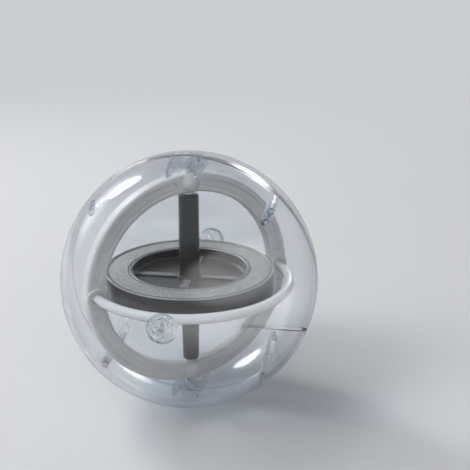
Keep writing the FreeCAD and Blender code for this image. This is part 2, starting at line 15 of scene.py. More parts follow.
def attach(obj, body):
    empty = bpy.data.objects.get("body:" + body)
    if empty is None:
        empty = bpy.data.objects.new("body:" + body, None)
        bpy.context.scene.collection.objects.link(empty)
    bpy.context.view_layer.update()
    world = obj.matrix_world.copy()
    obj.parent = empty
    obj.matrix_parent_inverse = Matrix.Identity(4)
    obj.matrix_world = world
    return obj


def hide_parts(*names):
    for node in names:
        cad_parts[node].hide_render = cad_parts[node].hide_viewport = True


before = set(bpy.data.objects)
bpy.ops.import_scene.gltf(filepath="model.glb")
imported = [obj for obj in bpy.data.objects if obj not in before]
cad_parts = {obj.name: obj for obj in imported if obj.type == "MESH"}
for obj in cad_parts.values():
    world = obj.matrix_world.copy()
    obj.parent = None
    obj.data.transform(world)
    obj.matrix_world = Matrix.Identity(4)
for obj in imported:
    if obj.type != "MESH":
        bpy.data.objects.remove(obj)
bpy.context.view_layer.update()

MM = 0.001

# %% [markdown]
# ## The camera first
# The photograph looks down at the ball by a little over 20 degrees and from its left, so the ring's
# right side lies farther away. The picture is 470 by 470. The ball isn't in its middle, so the camera
# is turned until the ball's centre falls on its own pixel, which keeps the lens shift at zero.

# %% Camera
PICTURE = 470
BALL_PIXEL = (189.8, 278.4)
LENS_PIXELS = 933.5
SENSOR = 36.0
DISTANCE = 330 * MM
AZIMUTH = math.radians(-25.0)
ELEVATION = math.radians(21.5)

toward = Vector((math.sin(AZIMUTH) * math.cos(ELEVATION), -math.cos(AZIMUTH) * math.cos(ELEVATION),
                 math.sin(ELEVATION)))
camera_data = bpy.data.cameras.new("camera")
camera_data.sensor_width = SENSOR
camera_data.lens = LENS_PIXELS * SENSOR / PICTURE
camera_data.clip_start = 0.01
camera = bpy.data.objects.new("camera", camera_data)
bpy.context.scene.collection.objects.link(camera)
bpy.context.scene.camera = camera
camera.location = toward * DISTANCE

across = (BALL_PIXEL[0] - PICTURE / 2) / LENS_PIXELS
down = (BALL_PIXEL[1] - PICTURE / 2) / LENS_PIXELS
seen = Vector((across, -down, -1)).normalized()
pitch = math.asin(max(-1, min(1, -toward.z / math.hypot(seen.y, seen.z)))) - math.atan2(seen.y, -seen.z)
level = Matrix.Rotation(pitch + math.pi / 2, 3, "X")
looked = level @ seen
turn = math.atan2(-toward.y, -toward.x) - math.atan2(looked.y, looked.x)
camera.rotation_euler = (Matrix.Rotation(turn, 3, "Z") @ level).to_euler()
print("camera", tuple(round(v, 4) for v in camera.location), "lens", round(camera_data.lens, 2))

# %% [markdown]
# ## Writing shader maths as sums
# A material is a net of small nodes. Wrapping a socket in a class with + - * / lets a mask or a colour
# be written as a sum, and one method adds any other node: its settings go in first, then its sockets.

# %% The shader helper


class Wire:
    """A socket in a material, which can be added to, multiplied, or fed to another node."""

    def __init__(self, tree, socket=None):
        self.tree = tree
        self.socket = socket

    def node(self, kind, settings=None, inputs=None, output=0):
        """Add a node of a kind, set it up, fill its sockets and give back one output."""
        made = self.tree.nodes.new(kind)
        for name, value in (settings or {}).items():
            setattr(made, name, value)
        for name, value in (inputs or {}).items():
            if isinstance(value, Wire):
                self.tree.links.new(value.socket, made.inputs[name])
            else:
                made.inputs[name].default_value = value
        return Wire(self.tree, made.outputs[output])

    def maths(self, operation, first, second=0.0):
        """One Math node."""
        return self.node("ShaderNodeMath", {"operation": operation}, {0: first, 1: second})

    def __add__(self, other):
        return self.maths("ADD", self, other)

    def __sub__(self, other):
        return self.maths("SUBTRACT", self, other)

    def __rsub__(self, other):
        return self.maths("SUBTRACT", other, self)

    def __mul__(self, other):
        return self.maths("MULTIPLY", self, other)

    __radd__ = __add__
    __rmul__ = __mul__


def blended(share, first, second):
    """A colour between two colours."""
    return share.node("ShaderNodeMix", {"data_type": "RGBA"},
                      {0: share, 6: as_colour(first), 7: as_colour(second)}, 2)


def as_colour(value):
    """A wire as it is, or three numbers with full alpha."""
    return value if isinstance(value, Wire) else (*value, 1)


def between(value, low, high):
    """0 below low, 1 above high, smooth in between."""
    return value.node("ShaderNodeMapRange", {"interpolation_type": "SMOOTHSTEP"},
                      {"Value": value, "From Min": low, "From Max": high})


print("shader helper ready")

# %% [markdown]
# The same few patterns come back in every finish: slow clouds that make moulded plastic a little uneven,
# a fine grain, and long thin scratches. Each reads Object coordinates, so it sticks to its piece.

# %% Patterns and the finished surface


def new_material(name):
    """An empty material, with the wire that starts its patterns and its output node."""
    material = bpy.data.materials.new(name)
    material.use_nodes = True
    tree = material.node_tree
    tree.nodes.clear()
    output = tree.nodes.new("ShaderNodeOutputMaterial")
    return material, Wire(tree), output


def place_on_piece(wire):
    """Where a point lies on its piece, in metres."""
    return wire.node("ShaderNodeTexCoord", output="Object")


def from_axle(place):
    """Distance from the axle's line, in metres."""
    flat = place.node("ShaderNodeVectorMath", {"operation": "MULTIPLY"}, {0: place, 1: (1, 1, 0)})
    return place.node("ShaderNodeVectorMath", {"operation": "LENGTH"}, {0: flat}, "Value")


def noise(place, size, detail=2.0, roughness=0.5):
    """Noise from 0 to 1 whose blotches are about size across, in metres."""
    return place.node("ShaderNodeTexNoise", {}, {"Vector": place, "Scale": 1 / size, "Detail": detail,
                                                 "Roughness": roughness})


def scratches(place, size, turned):
    """Thin lines, 1 on a scratch and 0 beside it."""
    spread = place.node("ShaderNodeMapping", {}, {
        "Vector": place, "Rotation": turned, "Scale": (1 / size, 0.07 / size, 0.4 / size)})
    field = place.node("ShaderNodeTexNoise", {}, {"Vector": spread, "Scale": 1.0, "Detail": 1.0})
    distance = place.maths("ABSOLUTE", field - 0.5)
    return 1 - between(distance, 0.0, 0.012)


def bumped(height, strength, depth):
    """A normal that follows a height, where depth is the real depth in metres."""
    return height.node("ShaderNodeBump", {}, {"Height": height, "Strength": strength, "Distance": depth})


def principled(wire, output, colour, roughness, normal, **fixed):
    """The main shader. Sockets that are the same all over are set straight on it."""
    inputs = {"Base Color": as_colour(colour), "Roughness": roughness, "Normal": normal}
    inputs.update({name.replace("_", " "): value for name, value in fixed.items()})
    shader = wire.node("ShaderNodeBsdfPrincipled", {}, inputs)
    if output is not None:
        wire.tree.links.new(shader.socket, output.inputs["Surface"])
    return shader


print("patterns ready")

# %% [markdown]
# ## Finishes
# **White plastic.** The ring is satin, a warm off-white, with a faint moulded grain. The guard hoop is
# the same kind of plastic with a polished skin, so it looks brighter.

# %% White plastic


def moulded_plastic(name, light, shade, roughness, grain, coat, painted_highlight_bands=(), painted_highlight_colour=None, **fixed):
    """Moulded plastic with slow clouds, fine grain and a few scratches, and painted highlights in bands of
    height.
    """
    material, wire, output = new_material(name)
    place = place_on_piece(wire)
    height = wire.maths("ABSOLUTE", wire.node("ShaderNodeSeparateXYZ", {}, {0: place}, "Z"))
    out = from_axle(place)
    clouds = between(noise(place, 9 * MM, 3.0), 0.3, 0.7)
    fine = noise(place, 0.22 * MM, 3.0)
    marks = scratches(place, 2.2 * MM, (0.3, 0.5, 0.9))
    colour = blended(clouds, light, shade)
    rough = (clouds * 0.06 + fine * 0.05 + (roughness - 0.05)) + marks * 0.05
    # Painted highlight: each band of height gets a paler colour, where a lamp would catch it, and a little
    # less roughness.
    for low, high, reach, share in painted_highlight_bands:
        band = between(height, low, low + 0.25 * MM) * (1 - between(height, high, high + 0.1 * MM))
        band = band * (1 - between(out, reach - 0.5 * MM, reach))
        painted_highlight = band * (fine * 0.5 + 0.75) * share
        colour = blended(painted_highlight, colour, painted_highlight_colour)
        rough = rough - painted_highlight * 0.08
    normal = bumped(fine + clouds * 0.6 - marks * 0.5, 0.35, grain)
    principled(wire, output, colour, rough, normal, Coat_Weight=coat, Coat_Roughness=0.12, **fixed)
    return material


ring_white = moulded_plastic("satin_white_plastic", (0.74, 0.73, 0.705), (0.69, 0.68, 0.655), 0.42,
                             0.02 * MM, 0.1, Subsurface_Weight=0.12, Subsurface_Radius=(0.9, 0.8, 0.7),
                             Subsurface_Scale=1.5 * MM)
hoop_white = moulded_plastic("polished_white_plastic", (0.74, 0.74, 0.73), (0.71, 0.71, 0.695), 0.24,
                             0.008 * MM, 0.6)
print("white finishes", ring_white.name, hoop_white.name)

# %% [markdown]
# ** Dark plastic.** The wheel and its axle are dark grey with a little brown. The crest of each lip and
# the tops of the ribs carry a painted highlight, which draws a pale line round the dish. **Weight ring.**
# Cast metal, mid grey, with a sandy grain and faint marks from the tool that faced it, which run in circles.
# Its edges carry painted shade, for the grooves against the wheel's lips. **Steel** is for the pins and the
# cups they stand in.

# %% Dark plastic and metals
dark_plastic = moulded_plastic("dark_plastic", (0.028, 0.024, 0.020), (0.021, 0.018, 0.015), 0.30,
                               0.012 * MM, 0.2)

# Painted highlights: the bands at the lip crests and at the rib tops are coloured pale where lamps would
# catch them.
wheel_plastic = moulded_plastic("wheel_plastic", (0.028, 0.024, 0.020), (0.021, 0.018, 0.015), 0.30,
                                0.008 * MM, 0.2, ((3.96 * MM, 4.50 * MM, 31 * MM, 1.0),
                                                  (1.0 * MM, 1.25 * MM, 19.8 * MM, 0.45)),
                                (0.34, 0.33, 0.315))
# Painted shade: the dark colour for the weight ring's edges, where the grooves beside the lips lie in shade.
PAINTED_GROOVE_SHADE = (0.03, 0.028, 0.025)


def turned_metal(name, light, shade, metallic, roughness, grain_size, line_gap, grain_depth, band=None):
    """Metal with a grain and circles left by turning, with painted shade at the edges of a band (middle, half
    width).
    """
    material, wire, output = new_material(name)
    place = place_on_piece(wire)
    out = from_axle(place)
    wander = noise(place, 3 * MM) * (0.4 * line_gap)
    circles = wire.maths("SINE", (out + wander) * (2 * math.pi / line_gap)) * 0.5 + 0.5
    grain = noise(place, grain_size, 4.0, 0.65)
    speck = between(grain, 0.35, 0.65)
    clouds = noise(place, 7 * MM)
    colour = blended(speck * 0.75 + clouds * 0.25, light, shade)
    # Painted shade: the edges of the band are coloured dark, as the shade in the grooves beside it.
    if band:
        off_middle = wire.maths("ABSOLUTE", out - band[0])
        groove_shade = between(off_middle, band[1] - 0.42 * MM, band[1] - 0.18 * MM)
        colour = blended(groove_shade, colour, PAINTED_GROOVE_SHADE)
    rough = grain * 0.16 + circles * 0.05 + clouds * 0.08 + (roughness - 0.14)
    normal = bumped(grain + circles * 0.25, 0.5, grain_depth)
    principled(wire, output, colour, rough, normal, Metallic=metallic)
    return material


# The band is the weight ring's own width, so its edges get painted shade at the grooves against the lips.
weight_metal = turned_metal("cast_weight_metal", (0.58, 0.575, 0.56), (0.26, 0.255, 0.245), 0.75, 0.46,
                            0.55 * MM, 0.35 * MM, 0.03 * MM, (24.85 * MM, 3.55 * MM))
pin_steel = turned_metal("ground_steel", (0.62, 0.62, 0.63), (0.52, 0.52, 0.53), 1.0, 0.24,
                         0.1 * MM, 0.12 * MM, 0.004 * MM)
print("metals", weight_metal.name, pin_steel.name)

# %% [markdown]
# **Clear plastic.** Each half of the ball is a real wall with an outside and an inside, so light bends
# in it as in the moulding. The tint sits in the depth of the plastic: 1.6 mm looks clear, but near the rim
# the eye looks along the wall through more than 20 mm of it, which turns blue-grey. A faint haze grows
# toward the rim too. The fittings inside, such as posts, fins and pole rings, are cloudy and a little
# milky. For shadows the wall is simply let through, so that the lamps reach the rotor.

# %% Clear plastic
material, wire, output = new_material("clear_plastic")
place = place_on_piece(wire)
waves = noise(place, 14 * MM, 2.0)
fine_marks = scratches(place, 2.6 * MM, (0.2, 1.1, 0.4)) + scratches(place, 3.4 * MM, (1.2, 0.3, 1.9))
rub = between(noise(place, 6 * MM, 4.0), 0.45, 0.8)
clear_normal = bumped(waves - fine_marks * 0.02, 0.25, 0.12 * MM)
inward = wire.node("ShaderNodeVectorMath", {"operation": "LENGTH"}, {0: place}, "Value")
fittings = 1 - between(inward, 42.9 * MM, 43.3 * MM)
milky = fittings * (between(noise(place, 1.6 * MM, 3.0), 0.40, 0.62) * 0.40 + 0.06)
clear_rough = rub * 0.03 + fine_marks * 0.05 + 0.012 + fittings * 0.08
glass = principled(wire, None, (0.935, 0.952, 0.968), clear_rough, clear_normal,
                   Transmission_Weight=1.0, IOR=1.49)
haze = principled(wire, None, blended(fittings, (0.40, 0.48, 0.58), (0.90, 0.92, 0.94)), 0.5, clear_normal)
edge = wire.node("ShaderNodeLayerWeight", {}, {"Blend": 0.32}, "Facing")
veil = between(edge, 0.3, 1.0) * 0.30 + 0.006 + milky
body = wire.node("ShaderNodeMixShader", {}, {0: veil, 1: glass, 2: haze})
through = wire.node("ShaderNodeBsdfTransparent", {}, {"Color": (0.93, 0.95, 0.97, 1)})
is_shadow = wire.node("ShaderNodeLightPath", output="Is Shadow Ray")
whole = wire.node("ShaderNodeMixShader", {}, {0: is_shadow, 1: body, 2: through})
wire.tree.links.new(whole.socket, output.inputs["Surface"])
depth_tint = wire.node("ShaderNodeVolumeAbsorption", {}, {"Color": (0.45, 0.62, 0.78, 1), "Density": 18.0})
wire.tree.links.new(depth_tint.socket, output.inputs["Volume"])
clear_plastic = material
print("clear plastic has", len(clear_plastic.node_tree.nodes), "nodes")

# %% [markdown]
# ## A pale stage
# The object stands on a pale floor that bends up into a pale wall all round, so no edge shows from any
# side. The wall is far away and seen evenly lit, which keeps the picture plain behind the glass.

# %% Stage
FLOOR_HEIGHT = -45 * MM
FLAT_REACH = 1.5
BEND = 1.3
WALL_HEIGHT = 4.5
BACKDROP = (0.60, 0.61, 0.63)


def new_object(name, points, faces):
    """An object from points in metres and faces."""
    mesh = bpy.data.meshes.new(name)
    mesh.from_pydata(points, [], faces)
    made = bpy.data.objects.new(name, mesh)
    bpy.context.scene.collection.objects.link(made)
    return made


profile = [(0.0, 0.0), (FLAT_REACH, 0.0)]
for step in range(1, 25):
    angle = math.pi / 2 * step / 24
    profile.append((FLAT_REACH + BEND * math.sin(angle), BEND * (1 - math.cos(angle))))
profile.append((FLAT_REACH + BEND, WALL_HEIGHT))
SIDES = 96
turns = [2 * math.pi * side / SIDES for side in range(SIDES)]
points = [(out * math.cos(a), out * math.sin(a), FLOOR_HEIGHT + up) for out, up in profile for a in turns]
faces = [[row * SIDES + side, row * SIDES + (side + 1) % SIDES, (row + 1) * SIDES + (side + 1) % SIDES,
          (row + 1) * SIDES + side] for row in range(len(profile) - 1) for side in range(SIDES)]
stage = new_object("stage", points, faces)
stage.data.shade_smooth()

material, wire, output = new_material("pale_stage")
place = place_on_piece(wire)
fine = noise(place, 1.2 * MM, 3.0)
stage_surface = principled(wire, None, blended(noise(place, 0.3), (0.56, 0.565, 0.575), (0.545, 0.55, 0.56)),
                           fine * 0.1 + 0.6, bumped(fine, 0.2, 0.02 * MM), Specular_IOR_Level=0.1)
height = wire.node("ShaderNodeSeparateXYZ", {}, {0: place}, "Z")
backward = between(wire.node("ShaderNodeSeparateXYZ", {}, {0: place}, "Y"), -0.2, 0.6)
distance = from_axle(place)
shown = (wire.node("ShaderNodeLightPath", output="Is Camera Ray")
         + wire.node("ShaderNodeLightPath", output="Is Transmission Ray")
         + wire.node("ShaderNodeLightPath", output="Is Glossy Ray") * backward)
backdrop = between(distance, 0.16, 0.70) * (1 - between(height, 0.3, 2.2)) * shown
glow = wire.node("ShaderNodeEmission", {}, {"Color": (*BACKDROP, 1), "Strength": 1.0})
whole = wire.node("ShaderNodeMixShader", {}, {0: backdrop, 1: stage_surface, 2: glow})
wire.tree.links.new(whole.socket, output.inputs["Surface"])
stage.data.materials.append(material)
print("stage is", 2 * (FLAT_REACH + BEND), "m across")

# %% [markdown]
# ## Light
# Lamps are big and soft. Glass shows lamps as mirror images: one behind the ball on the left makes
# the broad soft patch high on the left side, and the hollow back of the ball throws the same lamp again
# low on the right. Each lamp fades from its middle to its edge, so these patches fade out too. The two
# high lamps are linked to the frame, the rotor and the stage, so that the ball doesn't mirror them. The
# fill makes no mirror image at all. The front lamp and the card below it make nothing but a mirror image,
# which is the milky veil low on the front of the ball.

# %% Lamps and sky


def soft_lamp(name, place, width, height, watts, roll=0.0, colour=(1, 1, 1), fade=0.5):
    """A lamp aimed at the ball, bright in its middle and dim at its edge, with its power in watts."""
    data = bpy.data.lights.new(name, "AREA")
    data.shape = "RECTANGLE"
    data.size = width
    data.size_y = height
    data.energy = watts
    data.use_nodes = True
    tree = data.node_tree
    tree.nodes.clear()
    output = tree.nodes.new("ShaderNodeOutputLight")
    wire = Wire(tree)
    spot = wire.node("ShaderNodeNewGeometry", output="Parametric")
    centred = wire.node("ShaderNodeVectorMath", {"operation": "SUBTRACT"}, {0: spot, 1: (0.5, 0.5, 0)})
    away = wire.node("ShaderNodeVectorMath", {"operation": "LENGTH"}, {0: centred}, "Value")
    glow = 1 - between(away, fade * 0.5, 0.5)
    emission = wire.node("ShaderNodeEmission", {}, {"Color": as_colour(colour), "Strength": glow})
    tree.links.new(emission.socket, output.inputs["Surface"])
    lamp = bpy.data.objects.new(name, data)
    bpy.context.scene.collection.objects.link(lamp)
    lamp.location = place
    aimed = Vector(place).to_track_quat("Z", "Y").to_matrix()
    lamp.rotation_euler = (aimed @ Matrix.Rotation(math.radians(roll), 3, "Z")).to_euler()
    lamp.visible_camera = False
    return lamp


soft_lamp("back_lamp", (-0.32, 1.04, 0.40), 1.2, 0.55, 3.4, roll=-49, colour=(0.96, 0.98, 1.0), fade=0.15)
soft_lamp("glint_lamp", (-0.20, 1.00, 0.62), 0.42, 0.24, 7.0, roll=-49, fade=0.5)
soft_lamp("side_lamp", (0.98, 0.86, 0.42), 0.55, 0.4, 5.0, fade=0.2)
LIT_FROM_ABOVE = bpy.data.collections.new("lit_from_above")
LIT_FROM_ABOVE.objects.link(stage)
for name, place, watts in (("top_lamp", (-0.42, 0.66, 1.25), 15.0), ("key_lamp", (-1.30, 0.02, 1.1), 36.0)):
    lamp = soft_lamp(name, place, 0.8, 0.7, watts, fade=0.5)
    lamp.light_linking.receiver_collection = LIT_FROM_ABOVE
fill = soft_lamp("fill_lamp", (-0.6, -1.1, 1.2), 1.4, 1.2, 10.0, fade=0.5)
fill.visible_glossy = False
fill.visible_transmission = False
front = soft_lamp("front_lamp", (0.10, -0.42, 0.15), 1.0, 0.46, 3.6, fade=0.6)
card = soft_lamp("card_lamp", (0.08, -0.20, -0.044), 0.60, 0.30, 1.4, fade=0.6)
card.rotation_euler = (math.pi, 0, 0)
for lamp in (front, card):
    lamp.visible_diffuse = False
    lamp.visible_transmission = False

world = bpy.data.worlds.new("studio")
bpy.context.scene.world = world
world.use_nodes = True
world.node_tree.nodes["Background"].inputs["Color"].default_value = (0.92, 0.95, 1.0, 1)
world.node_tree.nodes["Background"].inputs["Strength"].default_value = 0.26
bpy.context.scene.view_settings.view_transform = "Standard"

# %% [markdown]
# ## Turned pieces
# Most pieces are turned about the axle, so they come from one outline, drawn as radius and height. Sharp
# corners catch no light, so each corner gets a small moulded radius before the outline is turned.

# %% Outlines and turning


def rounded(corners, steps=4):
    """Points of a closed outline whose corners are (out, up), sharp, or (out, up, radius), rounded."""
    points = []
    for index, corner in enumerate(corners):
        here = Vector(corner[:2])
        if len(corner) == 2:
            points.append(here)
            continue
        before = Vector(corners[index - 1][:2]) - here
        after = Vector(corners[(index + 1) % len(corners)][:2]) - here
        half = before.angle(after) / 2
        reach = min(corner[2] / math.tan(half), 0.48 * before.length, 0.48 * after.length)
        radius = reach * math.tan(half)
        centre = here + (before.normalized() + after.normalized()).normalized() * (radius / math.sin(half))
        first = here + before.normalized() * reach - centre
        last = here + after.normalized() * reach - centre
        sweep = first.angle_signed(last)
        for step in range(steps + 1):
            angle = -sweep * step / steps
            points.append(centre + Matrix.Rotation(angle, 2) @ first)
    return [(point.x, point.y) for point in points]


def arc(centre, radius, start, end, steps):
    """Points on an arc, with angles in degrees from straight out."""
    angles = [math.radians(start + (end - start) * step / steps) for step in range(steps + 1)]
    return [(centre[0] + radius * math.cos(a), centre[1] + radius * math.sin(a)) for a in angles]


def solid(name, points, faces):
    """A closed piece from points in millimetres, with its faces turned outwards."""
    made = new_object(name, [Vector(point) * MM for point in points], faces)
    net = bmesh.new()
    net.from_mesh(made.data)
    bmesh.ops.remove_doubles(net, verts=net.verts, dist=1e-7)
    bmesh.ops.recalc_face_normals(net, faces=net.faces)
    net.to_mesh(made.data)
    net.free()
    return made


def turned(name, outline, sides=192):
    """A piece turned about the axle from a closed outline."""
    points = []
    rings = []
    for out, up in outline:
        if out < 1e-6:
            points.append((0, 0, up))
            rings.append([len(points) - 1] * sides)
            continue
        rings.append(range(len(points), len(points) + sides))
        for side in range(sides):
            angle = 2 * math.pi * side / sides
            points.append((out * math.cos(angle), out * math.sin(angle), up))
    faces = []
    for low, high in zip(rings, rings[1:] + rings[:1]):
        for side in range(sides):
            corners = [low[side], low[(side + 1) % sides], high[(side + 1) % sides], high[side]]
            corners = list(dict.fromkeys(corners))
            if len(corners) > 2:
                faces.append(corners)
    return solid(name, points, faces)


def moved(piece, matrix):
    """The same piece with its mesh moved, while its object stays at the origin."""
    to_metres = Matrix.Diagonal((MM, MM, MM, 1))
    piece.data.transform(to_metres @ matrix @ to_metres.inverted())
    return piece


print("a corner of 90 degrees gets", len(rounded([(0, 0), (1, 0, 0.2), (1, 1), (0, 1)])) - 3, "points")

# %% [markdown]
# ## Joining and cutting
# Bosses are moulded in one with what they stand on, and holes go right through it. Boolean modifiers
# do both. A last modifier weights each corner's shading by the size of its faces, so flat faces look flat
# and only the small radii roll the light over.

# %% Joining, cutting and shading


def plain(piece):
    """Make the piece's modifiers part of its mesh and take them off."""
    bpy.context.view_layer.update()
    graph = bpy.context.evaluated_depsgraph_get()
    mesh = bpy.data.meshes.new_from_object(piece.evaluated_get(graph))
    piece.modifiers.clear()
    old = piece.data
    piece.data = mesh
    bpy.data.meshes.remove(old)
    mesh.name = piece.name
    return piece


def combined(piece, operation, tools):
    """Unite the piece with some solids, or cut them out of it, and throw the tools away."""
    for tool in tools:
        change = piece.modifiers.new("change", "BOOLEAN")
        change.operation = operation
        change.solver = "MANIFOLD"
        change.object = tool
    plain(piece)
    for tool in tools:
        bpy.data.objects.remove(tool)
    return piece


def shaded(piece, sharp=32):
    """Smooth shading that breaks at edges sharper than an angle and follows the larger faces."""
    piece.data.shade_smooth()
    piece.data.set_sharp_from_angle(angle=math.radians(sharp))
    weights = piece.modifiers.new("weights", "WEIGHTED_NORMAL")
    weights.keep_sharp = True
    weights.weight = 50
    return plain(piece)


def finished(piece, body, material, node):
    """Give the piece its material, its body and the CAD node that it stands for."""
    piece.name = f"{node}_finish"
    piece.data.name = piece.name
    piece.data.materials.clear()
    piece.data.materials.append(material)
    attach(piece, body)
    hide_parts(node)
    if body in ("frame", "rotor"):
        LIT_FROM_ABOVE.objects.link(piece)
    triangles = sum(len(face.vertices) - 2 for face in piece.data.polygons)
    print(f"{piece.name}: {triangles} triangles, rides on {body}")
    return piece


print("joining helpers ready")

# %% [markdown]
# ## Geometry Nodes for what repeats
# Posts, seam keys and spokes are one shape repeated about an axis. This tree takes the piece's own mesh as
# that shape and has a count, a radius and a start angle as inputs. A second tree bends a rod round an arc.

# %% Geometry Nodes helpers


def new_tree(name, sizes):
    """An empty tree with a geometry input, named number inputs and a material input."""
    tree = bpy.data.node_groups.new(name, "GeometryNodeTree")
    tree.interface.new_socket("Geometry", in_out="INPUT", socket_type="NodeSocketGeometry")
    for size, kind in sizes.items():
        tree.interface.new_socket(size, in_out="INPUT", socket_type=kind)
    tree.interface.new_socket("Material", in_out="INPUT", socket_type="NodeSocketMaterial")
    tree.interface.new_socket("Geometry", in_out="OUTPUT", socket_type="NodeSocketGeometry")
    start = tree.nodes.new("NodeGroupInput")
    return tree, start


def tree_node(tree, kind, settings=None, inputs=None):
    """Add a node, with its settings and then its sockets, which take numbers or other sockets."""
    made = tree.nodes.new(kind)
    for name, value in (settings or {}).items():
        setattr(made, name, value)
    for name, value in (inputs or {}).items():
        if isinstance(value, bpy.types.NodeSocket):
            tree.links.new(value, made.inputs[name])
        else:
            made.inputs[name].default_value = value
    return made


def close_tree(tree, start, geometry):
    """End the tree in real geometry with its material set."""
    real = tree_node(tree, "GeometryNodeRealizeInstances", {}, {"Geometry": geometry})
    painted = tree_node(tree, "GeometryNodeSetMaterial", {},
                        {"Geometry": real.outputs[0], "Material": start.outputs["Material"]})
    end = tree.nodes.new("NodeGroupOutput")
    tree.links.new(painted.outputs[0], end.inputs["Geometry"])


def grown(piece, tree, **sizes):
    """Run a tree on the piece with its inputs set, and keep the result as a plain mesh."""
    modifier = piece.modifiers.new(tree.name, "NODES")
    modifier.node_group = tree
    for item in tree.interface.items_tree:
        if item.in_out == "INPUT" and item.name.replace(" ", "_") in sizes:
            modifier[item.identifier] = sizes[item.name.replace(" ", "_")]
    return plain(piece)


# %% A shape repeated about the upright axis
around_tree, start = new_tree("repeated_about_an_axis", {
    "Count": "NodeSocketInt", "Radius": "NodeSocketFloat", "Start": "NodeSocketFloat"})
index = tree_node(around_tree, "GeometryNodeInputIndex").outputs[0]
step = tree_node(around_tree, "ShaderNodeMath", {"operation": "DIVIDE"},
                 {0: 2 * math.pi, 1: start.outputs["Count"]}).outputs[0]
angle = tree_node(around_tree, "ShaderNodeMath", {"operation": "MULTIPLY_ADD"},
                  {0: index, 1: step, 2: start.outputs["Start"]}).outputs[0]
along = tree_node(around_tree, "ShaderNodeMath", {"operation": "COSINE"}, {0: angle}).outputs[0]
beside = tree_node(around_tree, "ShaderNodeMath", {"operation": "SINE"}, {0: angle}).outputs[0]
spot = tree_node(around_tree, "ShaderNodeCombineXYZ", {}, {0: along, 1: beside}).outputs[0]
spot = tree_node(around_tree, "ShaderNodeVectorMath", {"operation": "SCALE"},
                 {0: spot, "Scale": start.outputs["Radius"]}).outputs[0]
spots = tree_node(around_tree, "GeometryNodePoints", {},
                  {"Count": start.outputs["Count"], "Position": spot})
spin = tree_node(around_tree, "ShaderNodeCombineXYZ", {}, {2: angle}).outputs[0]
copies = tree_node(around_tree, "GeometryNodeInstanceOnPoints", {},
                   {"Points": spots.outputs[0], "Instance": start.outputs["Geometry"], "Rotation": spin})
close_tree(around_tree, start, copies.outputs[0])

# %% A rod bent round an arc
rod_tree, start = new_tree("rod_round_an_arc", {
    "Radius": "NodeSocketFloat", "Rod Radius": "NodeSocketFloat", "Start": "NodeSocketFloat",
    "Sweep": "NodeSocketFloat", "Steps": "NodeSocketInt"})
path = tree_node(rod_tree, "GeometryNodeCurveArc", {"mode": "RADIUS"}, {
    "Resolution": start.outputs["Steps"], "Radius": start.outputs["Radius"],
    "Start Angle": start.outputs["Start"], "Sweep Angle": start.outputs["Sweep"]})
section = tree_node(rod_tree, "GeometryNodeCurvePrimitiveCircle", {"mode": "RADIUS"},
                    {"Resolution": 40, "Radius": start.outputs["Rod Radius"]})
rod = tree_node(rod_tree, "GeometryNodeCurveToMesh", {}, {
    "Curve": path.outputs[0], "Profile Curve": section.outputs[0], "Fill Caps": True})
close_tree(rod_tree, start, rod.outputs[0])
print("trees", [tree.name for tree in bpy.data.node_groups])

# %% [markdown]
# ## The rotor
# The wheel carries its weight far out. Between an outer and an inner lip lies a cast ring, sunk a
# little below the lips. Inside, a thin web with four wide, low spokes holds the hub. The wheel is one
# outline with a soft radius on each lip, which is where the photograph's bright lines run.

# %% Rotor wheel
ROTOR_RADIUS = 29.6
WHEEL_TOP = 4.6
WHEEL_BOTTOM = -4.4
INNER_LIP = 20.0
WEIGHT_INSIDE = 21.3
WEIGHT_OUTSIDE = 28.4
HUB_TOP = 1.9
HUB_RADIUS = 4.4
HUB_BORE = 2.02
WEB_HALF = 0.6
WEIGHT_TOP = 4.2
WEIGHT_FLOOR = -3.0
WEIGHT_ROOM = 0.02

wheel = turned("rotor_wheel", rounded([
    (HUB_BORE, -HUB_TOP, 0.15), (HUB_RADIUS, -HUB_TOP, 0.35), (HUB_RADIUS, -WEB_HALF, 0.5),
    (INNER_LIP, -WEB_HALF, 0.6), (INNER_LIP, WHEEL_BOTTOM, 0.55), (ROTOR_RADIUS, WHEEL_BOTTOM, 0.6),
    (ROTOR_RADIUS, WHEEL_TOP, 0.6), (WEIGHT_OUTSIDE, WHEEL_TOP, 0.55), (WEIGHT_OUTSIDE, WEIGHT_FLOOR, 0.1),
    (WEIGHT_INSIDE, WEIGHT_FLOOR, 0.1), (WEIGHT_INSIDE, WHEEL_TOP, 0.6), (INNER_LIP, WHEEL_TOP, 0.65),
    (INNER_LIP, WEB_HALF, 0.9), (HUB_RADIUS, WEB_HALF, 0.5), (HUB_RADIUS, HUB_TOP, 0.35),
    (HUB_BORE, HUB_TOP, 0.15),
], 6), 256)

# %% Spokes, repeated by the tree
SPOKE_WIDTH = 3.0
SPOKE_TOP = 1.2
SPOKE_START = 53.0
spoke_length = INNER_LIP + 0.65 - HUB_RADIUS + SPOKE_WIDTH / 2
spoke_middle = HUB_RADIUS - SPOKE_WIDTH / 2 + spoke_length / 2
section = rounded([(-SPOKE_WIDTH / 2, -SPOKE_TOP, 0.3), (SPOKE_WIDTH / 2, -SPOKE_TOP, 0.3),
                   (SPOKE_WIDTH / 2, SPOKE_TOP, 0.3), (-SPOKE_WIDTH / 2, SPOKE_TOP, 0.3)], 4)
count = len(section)
points = [(end * spoke_length / 2, side, up) for end in (-1, 1) for side, up in section]
faces = [[i, (i + 1) % count, (i + 1) % count + count, i + count] for i in range(count)]
faces += [list(range(count)), list(range(count, 2 * count))]
spokes = grown(solid("spokes", points, faces), around_tree, Count=4, Radius=spoke_middle * MM,
               Start=math.radians(SPOKE_START), Material=dark_plastic)
shaded(combined(wheel, "UNION", [spokes]))
finished(wheel, "rotor", wheel_plastic, "rotor_wheel")

